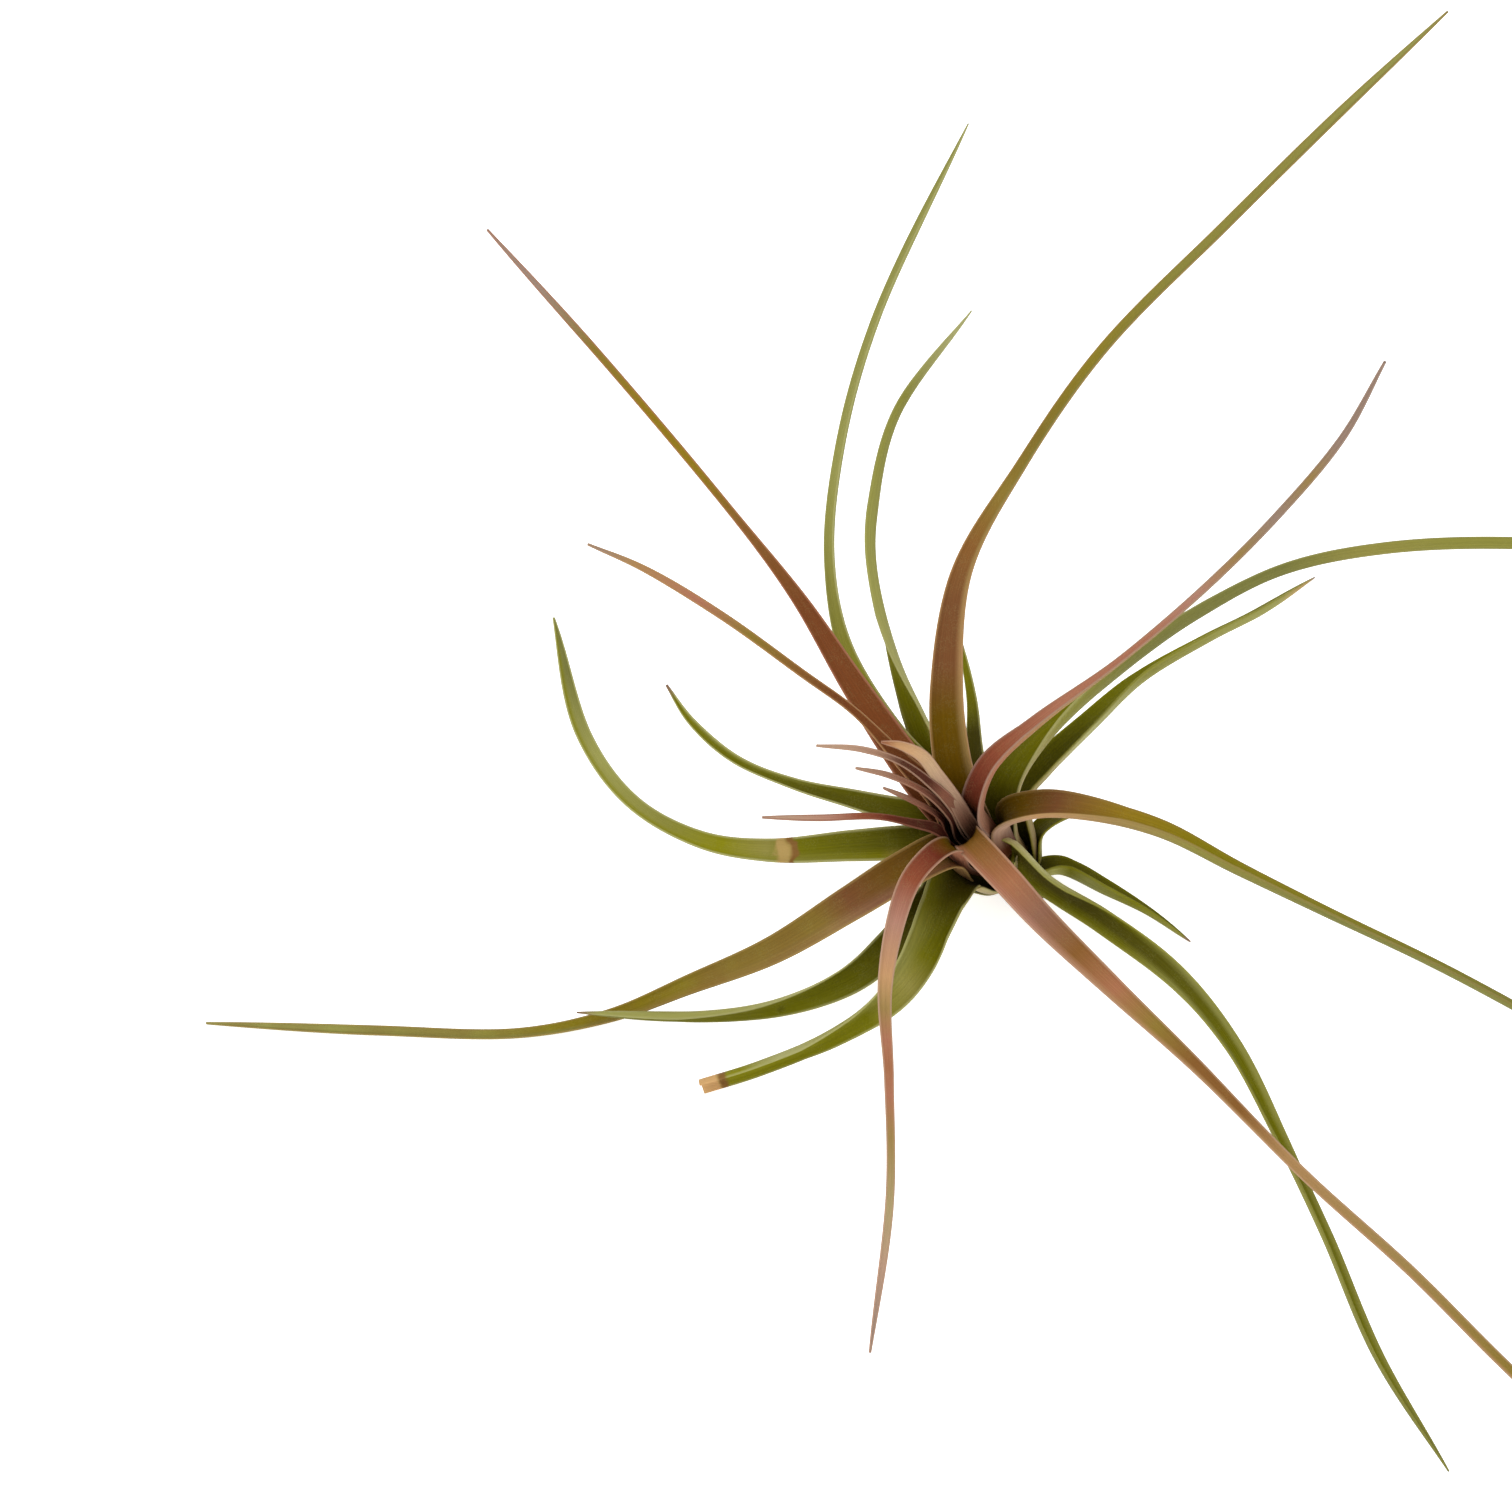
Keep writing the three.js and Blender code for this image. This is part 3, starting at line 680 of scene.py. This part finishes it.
            (0.85, "scaly_green"), (0.93, "crease_tan")],
        "margin": "lime", "dried": 0.96,
    },
    {
        "name": "outer_leaf_10", "root": (7.5, 350), "splay": 45, "sheath": (2.5, 4.4), "broad": 6.6,
        "tail": 2.2, "waist": 0.9, "cup": (75, 68),
        "twist": [(0, -20), (0.25, -48)],
        "blade": [(4, -2, 11.5), (12.5, -5.5, 9.5), (20.5, -8, 5), (28, -11.5, 0.2)],
        "inside": [(0, "heart_shade_and_prick_dark"), (0.2, "moss"), (1, "olive")],
        "outside": [(0, "bark_brown"), (0.15, "scaly_green"), (0.25, "olive"), (0.35, "grey_green"),
            (0.6, "leaf_green"), (0.9, "straw_green")],
        "margin": "lime", "dried": 0.93,
    },
    {
        "name": "outer_leaf_11", "root": (4.5, 86), "splay": 28, "sheath": (7, 4.4), "broad": 4.6,
        "tail": 1.5, "waist": 0.9,
        "blade": [(-10, 8.5, 17.5), (-11.5, 15.5, 21.5), (-12, 26, 23), (-14, 39.5, 23)],
        "inside": [(0, "heart_shade_and_prick_dark"), (0.2, "deep_olive"), (0.6, "deep_olive"), (0.7, "olive"),
            (0.82, "leaf_green")],
        "outside": [(0, "bark_brown"), (0.2, "scaly_green"), (1, "scaly_green")],
        "dried": 0.93,
    },
    {
        "name": "outer_leaf_12", "root": (4.5, 30), "splay": 30, "sheath": (5, 4.6), "broad": 4.6,
        "tail": 1.5, "waist": 0.9,
        "blade": [(0, 4, 14), (6, 8, 14), (14.5, 10.5, 10.5), (24, 10.5, 3.5)],
        "inside": [(0, "heart_shade_and_prick_dark"), (0.25, "moss"), (0.6, "leaf_green")],
        "outside": [(0, "bark_brown"), (0.2, "scaly_green"), (1, "straw_green")],
        "margin": "lime", "dried": 0.93,
    },
]
grow(OUTER_LEAVES)


# The inner leaves: eight long blades of middle age, blushed copper and brick red by strong light,
# and still soft. They arch out over the old ones from closer to the heart.
LEAF_COLOURS.update({
    # Near-black wine red: the young leaves' own dark wine colour, darkened further with painted shade
    # where they sink into the heart.
    "wine_and_heart_shade": "#190b08",
    "dark_ochre": "#4c3804",
    "ochre": "#644902",
    "umber": "#4e2712",
    "copper": "#714828",
    "red_copper": "#703e1d",
    "rust": "#815729",
    "mustard": "#8a7018",
    "olive_tan": "#87702e",
    "straw_tan": "#987d4a",
    "tan": "#a47f52",
    "pale_tan": "#bb9065",
    "brick": "#8c4c34",
    "dark_brick": "#6c3020",
    "terracotta": "#a06a4a",
    "rose_tan": "#a76f56",
    "blush_pink": "#ad7f6c",
    "rose_beige": "#b08f78",
    "ash_rose": "#977f70",
    "mauve": "#89604c",
    "yellow_green": "#7f740c",
    "drab_olive": "#7d6a28",
    "leafy_olive": "#867624",
    "straw_beige": "#a8966c",
    "pale_olive": "#87803a",
    "dull_olive": "#7a773a",
})

# Each inner leaf starts near black at its base: painted shade where it sinks into the heart.
INNER_LEAVES = [
    {
        "name": "inner_leaf_1", "root": (13.5, 140), "splay": 8, "sheath": (10, 3.4), "broad": 5.2,
        "tail": 1.3, "waist": 0.5,
        "blade": [(-19.5, -0.5, 35.5), (-25, 1, 43.5), (-34, 5.5, 54), (-43.5, 8.5, 62.5),
            (-57.5, 14.5, 72), (-71, 21, 77), (-81, 25.5, 78)],
        "inside": [(0, "wine_and_heart_shade"), (0.2, "umber"), (0.35, "red_copper"), (0.52, "red_copper"),
            (0.6, "rust"), (0.7, "olive_tan"), (0.8, "rose_tan"), (0.92, "tan"), (0.98, "ash_rose")],
        "outside": [(0, "umber"), (0.3, "rose_tan"), (0.9, "tan"), (0.98, "ash_rose")],
        "margin": "tan",
    },
    {
        "name": "inner_leaf_2", "root": (13, 225), "splay": 8, "sheath": (10, 3.4), "broad": 4.2,
        "tail": 1.4, "waist": 0.72,
        "blade": [(-16.5, -7.5, 29), (-19.5, -11, 33), (-23.5, -16.5, 34.5), (-26, -23, 35.5),
            (-29, -40, 37), (-28.5, -58, 36), (-28.5, -78.5, 31), (-32, -103.5, 22.5)],
        "inside": [(0, "wine_and_heart_shade"), (0.1, "umber"), (0.18, "ochre"), (0.23, "dark_brick"),
            (0.29, "brick"), (0.37, "blush_pink"), (0.46, "pale_tan"), (0.51, "straw_tan"),
            (0.56, "rose_tan"), (0.6, "terracotta"), (0.64, "rose_tan"), (0.7, "straw_tan"),
            (0.8, "straw_beige"), (0.88, "rose_beige"), (0.97, "ash_rose")],
        "outside": [(0, "umber"), (0.15, "rose_tan"), (0.6, "rose_beige"), (1, "rose_tan")],
        "margin": "rose_beige", "scaly_glow_rim": 0.1,
    },
    {
        "name": "inner_leaf_3", "root": (12.5, 40), "splay": 8, "sheath": (11, 3.6), "broad": 5.8,
        "tail": 1.3, "waist": 0.48, "cup": (80, 72),
        "twist": [(0, 10), (0.12, 0), (0.3, -35), (0.6, 0)],
        "blade": [(-12.5, -2, 34.5), (-10, 1.5, 42.5), (-2, 6, 49.5), (12.7, 14.5, 56.7),
            (27.4, 26.1, 61.4), (41.5, 41.2, 62.7), (53.5, 56, 65), (62, 72, 66)],
        "inside": [(0, "wine_and_heart_shade"), (0.1, "umber"), (0.2, "dark_brick"), (0.26, "brick"),
            (0.36, "rose_tan"), (0.5, "rose_tan"), (0.58, "blush_pink"), (0.66, "straw_tan"),
            (0.73, "ash_rose"), (0.8, "straw_tan"), (0.86, "ash_rose")],
        "outside": [(0, "wine_and_heart_shade"), (0.09, "umber"), (0.16, "mauve"), (0.25, "rose_tan"),
            (0.35, "tan"), (0.66, "straw_tan"), (0.73, "ash_rose"), (0.8, "straw_tan"),
            (0.86, "ash_rose")],
        "margin": "ash_rose",
    },
    {
        "name": "inner_leaf_4", "root": (12, 118), "splay": 10, "sheath": (10, 4.4), "broad": 6.6,
        "tail": 1.3, "waist": 0.56,
        "blade": [(-20.5, 3, 30.5), (-27, 9, 37.5), (-34.5, 18, 44), (-44, 33, 48), (-57.6, 52, 50.5),
            (-78.7, 80, 53), (-101.5, 109.5, 54)],
        "inside": [(0, "wine_and_heart_shade"), (0.1, "umber"), (0.2, "red_copper"), (0.4, "red_copper"),
            (0.52, "rust"), (0.6, "mustard"), (0.7, "mustard"), (0.8, "olive_tan"), (0.9, "ash_rose")],
        "outside": [(0, "umber"), (0.2, "mauve"), (0.5, "tan"), (1, "mauve")],
        "margin": "rose_tan",
    },
    {
        "name": "inner_leaf_5", "root": (11.5, 310), "splay": 10, "sheath": (10, 4.8), "broad": 5.5,
        "tail": 1.7, "waist": 0.52,
        "blade": [(-13.5, -5.5, 28), (-7, -13, 27), (-0.5, -20.5, 25.5), (12, -34, 24.5),
            (25.5, -48.5, 24), (44.5, -70, 22.5), (62, -87.5, 21), (78.5, -105.5, 19),
            (108, -133, 12.5)],
        "inside": [(0, "wine_and_heart_shade"), (0.09, "ochre"), (0.12, "rust"), (0.16, "terracotta"),
            (0.2, "mauve"), (0.25, "rust"), (0.3, "terracotta"), (0.35, "olive_tan"), (0.4, "rust"),
            (0.46, "rust"), (0.52, "tan"), (0.65, "straw_tan"), (0.8, "olive_tan")],
        "outside": [(0, "umber"), (0.15, "rose_tan"), (0.5, "tan"), (1, "olive_tan")],
        "flank": [(0, "rust"), (0.14, "rose_tan"), (0.2, "blush_pink"), (0.33, "tan"), (0.6, "tan")],
        "flank_side": 1, "flank_from": 0.3, "margin": "rose_beige",
    },
    {
        "name": "inner_leaf_6", "root": (11, 92), "splay": 10, "sheath": (10, 5.0), "broad": 7.2,
        "tail": 1.9, "waist": 0.42,
        "blade": [(-14.5, 3, 29.5), (-16.5, 6.5, 37.5), (-17.5, 14.5, 47), (-15, 31.5, 58.5),
            (-4, 52, 62.5), (11, 76.5, 62.5), (35.5, 108, 58), (58, 135.5, 55), (80, 160.5, 53.5)],
        "inside": [(0, "heart_shade_and_prick_dark"), (0.05, "dark_ochre"), (0.1, "ochre"), (0.17, "ochre"),
            (0.21, "copper"), (0.26, "copper"), (0.31, "rust"), (0.36, "olive_tan"),
            (0.42, "drab_olive"), (0.5, "leafy_olive"), (0.62, "pale_olive"), (0.78, "crease_green"),
            (0.96, "scaly_green")],
        "outside": [(0, "umber"), (0.1, "rose_beige"), (0.3, "tan"), (0.45, "pale_olive"),
            (0.96, "scaly_green")],
        "flank": [(0, "tan"), (0.15, "straw_tan"), (0.22, "tan"), (0.3, "straw_tan"),
            (0.4, "dull_olive")],
        "flank_side": 1, "flank_from": 0.35, "margin": "tan",
    },
    {
        "name": "inner_leaf_7", "root": (10.5, 0), "splay": 12, "sheath": (9, 6.0), "broad": 7.0,
        "tail": 3.2, "waist": 0.6, "cup": (72, 68),
        "twist": [(0.1, 0), (0.16, -10), (0.25, -34), (0.4, -42)],
        "blade": [(-7.5, -0.5, 26), (-1.5, -1, 31.5), (7, -3.5, 35), (20.5, -7.5, 35),
            (34.5, -13, 30.5), (51, -18.5, 24), (69.5, -24, 16), (84.5, -29, 9), (125, -50.5, 0.2)],
        "inside": [(0, "heart_shade_and_prick_dark"), (0.05, "heart_shade_and_prick_dark"), (0.09, "dark_ochre"), (0.13, "ochre"),
            (0.17, "copper"), (0.25, "mustard"), (0.35, "yellow_green"), (0.8, "dull_olive")],
        "outside": [(0, "heart_shade_and_prick_dark"), (0.07, "umber"), (0.11, "rose_beige"), (0.16, "pale_tan"),
            (0.24, "straw_tan"), (0.33, "pale_olive"), (0.5, "dull_olive")],
        "margin": "straw_tan", "rim_strength": 0.35,
    },
    {
        "name": "inner_leaf_8", "root": (10, 200), "splay": 14, "sheath": (8, 5.4), "broad": 7.4,
        "tail": 1.7, "waist": 0.68,
        "blade": [(-17.5, -6, 24), (-25, -10.5, 25), (-34.5, -15.5, 22), (-48.5, -21, 14.5),
            (-63.5, -24.5, 8), (-78, -28, 2.5), (-94.5, -30.5, 0.5), (-120, -30, 0.5),
            (-151.5, -28.5, 0.5)],
        "inside": [(0, "heart_shade_and_prick_dark"), (0.08, "dark_ochre"), (0.19, "ochre"), (0.25, "copper"),
            (0.3, "drab_olive"), (0.42, "drab_olive"), (0.5, "yellow_green"), (0.6, "yellow_green"),
            (0.7, "pale_olive"), (0.93, "scaly_green")],
        "outside": [(0, "umber"), (0.12, "tan"), (0.4, "pale_olive"), (0.93, "scaly_green")],
        "flank": [(0, "ochre"), (0.22, "mauve"), (0.3, "straw_tan"), (0.45, "olive_tan"),
            (0.6, "dull_olive")],
        "flank_side": -1, "margin": "straw_tan", "blush": ("copper", 0.3),
    },
]
for leaf in INNER_LEAVES:
    grow([leaf])


# The heart leaves: the youngest five, short, narrow and close together where the plant grows. They
# come out dark wine red and fade to rose and tan at the tips, and near their bases painted shade of
# the heart darkens them almost to black. A third root value is the side that such a leaf faces.
LEAF_COLOURS.update({
    "wine": "#3c1711",
    "chestnut": "#4d261a",
    "crimson": "#622a1b",
    "dusty_rose": "#855542",
    "rose_grey": "#a07a64",
    "pale_rose": "#b6957a",
    "pale_straw": "#bf9f7c",
})

HEART_LEAVES = [
    {
        "name": "heart_leaf_1", "root": (17, 200, 168), "splay": 5, "sheath": (3, 1.6), "broad": 2.2,
        "tail": 1.0, "waist": 0.75,
        "blade": [(-16.5, -3.5, 23), (-18.5, -3.5, 32), (-24, -4, 39.5), (-29, -3.5, 43)],
        "inside": [(0, "wine_and_heart_shade"), (0.48, "wine_and_heart_shade"), (0.6, "wine"), (0.75, "dusty_rose"),
            (0.85, "mauve"), (1, "rose_beige")],
        "outside": [(0, "wine_and_heart_shade"), (0.5, "wine"), (0.8, "dusty_rose"), (1, "rose_beige")],
        "margin": "dusty_rose",
    },
    {
        "name": "heart_leaf_2", "root": (16.5, 140, 158), "splay": 5, "sheath": (3, 1.8), "broad": 2.5,
        "tail": 1.0, "waist": 0.8,
        "blade": [(-15, -2, 23), (-17, -3.5, 33.5), (-22, -3.5, 42), (-28, -3, 46.5), (-34, -3.5, 50)],
        "inside": [(0, "wine_and_heart_shade"), (0.35, "wine"), (0.55, "chestnut"), (0.75, "dusty_rose"),
            (0.88, "rose_grey"), (1, "rose_beige")],
        "outside": [(0, "wine_and_heart_shade"), (0.5, "wine"), (0.75, "dusty_rose"), (1, "rose_beige")],
        "margin": "rose_grey",
    },
    {
        "name": "heart_leaf_3", "root": (16, 80, 146), "splay": 5, "sheath": (3, 2.0), "broad": 2.8,
        "tail": 1.0, "waist": 0.8,
        "blade": [(-13.5, -1.5, 24), (-16.5, -2.5, 35), (-20.5, -3, 43.5), (-26, -2, 49.5),
            (-33, -2, 54), (-41, -3, 57)],
        "inside": [(0, "wine_and_heart_shade"), (0.2, "umber"), (0.35, "mauve"), (0.48, "dusty_rose"),
            (0.58, "chestnut"), (0.7, "chestnut"), (0.8, "rose_grey"), (0.9, "rose_beige")],
        "outside": [(0, "wine_and_heart_shade"), (0.5, "wine"), (0.7, "dusty_rose"), (1, "rose_beige")],
        "margin": "rose_beige",
    },
    {
        "name": "heart_leaf_4", "root": (15.5, 20, 126), "splay": 5, "sheath": (3, 2.4), "broad": 3.1,
        "tail": 2.2, "waist": 0.9,
        "blade": [(-12.5, -2, 25), (-16, -2, 35.5), (-19.5, -1.5, 44), (-22.5, -0.5, 49.5),
            (-26, 0.5, 51), (-29.5, 1.5, 50.5)],
        "inside": [(0, "wine_and_heart_shade"), (0.22, "umber"), (0.36, "mauve"), (0.45, "rose_grey"),
            (0.53, "pale_rose"), (0.66, "pale_rose"), (0.76, "pale_straw"), (0.93, "pale_tan"),
            (1, "brick")],
        "outside": [(0, "wine_and_heart_shade"), (0.35, "chestnut"), (0.55, "mauve"), (0.7, "tan"), (1, "brick")],
        "margin": "rose_beige", "nerves": 6.0,
    },
    {
        "name": "heart_leaf_5", "root": (14.5, 215, 178), "splay": 8, "sheath": (3, 2.6), "broad": 3.3,
        "tail": 1.1, "waist": 0.65,
        "blade": [(-16.5, -5.5, 23.5), (-19, -5.5, 31), (-24, -7, 36.5), (-30.5, -8.5, 41.5),
            (-40.5, -10.5, 44.5), (-50.5, -11.5, 46.5)],
        "inside": [(0, "wine_and_heart_shade"), (0.3, "wine"), (0.5, "chestnut"), (0.6, "crimson"),
            (0.7, "brick"), (0.8, "blush_pink"), (0.92, "rose_beige")],
        "outside": [(0, "wine_and_heart_shade"), (0.4, "wine"), (0.65, "mauve"), (1, "rose_beige")],
        "margin": "dusty_rose",
    },
]
grow(HEART_LEAVES)


# The surface, the light and the camera: a plain white sweep lit softly from all round, seen from
# above the front of the plant as it lies.
SWEEP_SIZE = 8
SWEEP_DROP = 0.0002
SWEEP_WHITE = (0.92, 0.92, 0.92, 1)
SWEEP_ROUGHNESS = 0.9
SWEEP_GLOW = 0.6
LIGHT_WHITE = (1, 1, 1, 1)
ROOM_LIGHT = 0.64
CAMERA_PLACE = (-51.58, -501.45, 916.71)
CAMERA_ELEVATION = 60
CAMERA_LENS = 135
CAMERA_SENSOR = 36

bpy.ops.mesh.primitive_plane_add(size=SWEEP_SIZE, location=(0, 0, -SWEEP_DROP))
sweep = bpy.context.object
sweep.name = "sweep"
sweep_paper, _, paper_shader = new_finish("sweep_paper")
paper_shader.inputs["Base Color"].default_value = SWEEP_WHITE
paper_shader.inputs["Roughness"].default_value = SWEEP_ROUGHNESS
paper_shader.inputs["Specular IOR Level"].default_value = 0.0
paper_shader.inputs["Emission Color"].default_value = LIGHT_WHITE
paper_shader.inputs["Emission Strength"].default_value = SWEEP_GLOW
sweep.data.materials.append(sweep_paper)


def soft_light(name, place, size, power):
    """A square soft box that looks at the plant, with its place and size in metres."""
    lamp_data = bpy.data.lights.new(name, "AREA")
    lamp_data.size = size
    lamp_data.energy = power
    lamp = bpy.data.objects.new(name, lamp_data)
    lamp.location = place
    lamp.rotation_euler = (-Vector(place)).to_track_quat("-Z", "Y").to_euler()
    bpy.context.scene.collection.objects.link(lamp)


soft_light("key_light", place=(-0.6, -0.1, 1.3), size=0.9, power=12)
soft_light("fill_light", place=(0.9, -0.5, 0.9), size=1.2, power=5.5)

studio = bpy.data.worlds.new("studio")
studio.use_nodes = True
studio.node_tree.nodes["Background"].inputs["Color"].default_value = LIGHT_WHITE
studio.node_tree.nodes["Background"].inputs["Strength"].default_value = ROOM_LIGHT
bpy.context.scene.world = studio

camera_data = bpy.data.cameras.new("camera")
camera_data.lens = CAMERA_LENS
camera_data.sensor_width = CAMERA_SENSOR
camera = bpy.data.objects.new("camera", camera_data)
camera.location = Vector(CAMERA_PLACE) * MM
camera.rotation_euler = (math.radians(90 - CAMERA_ELEVATION), 0, 0)
bpy.context.scene.collection.objects.link(camera)
bpy.context.scene.camera = camera
bpy.context.scene.view_settings.view_transform = "Standard"
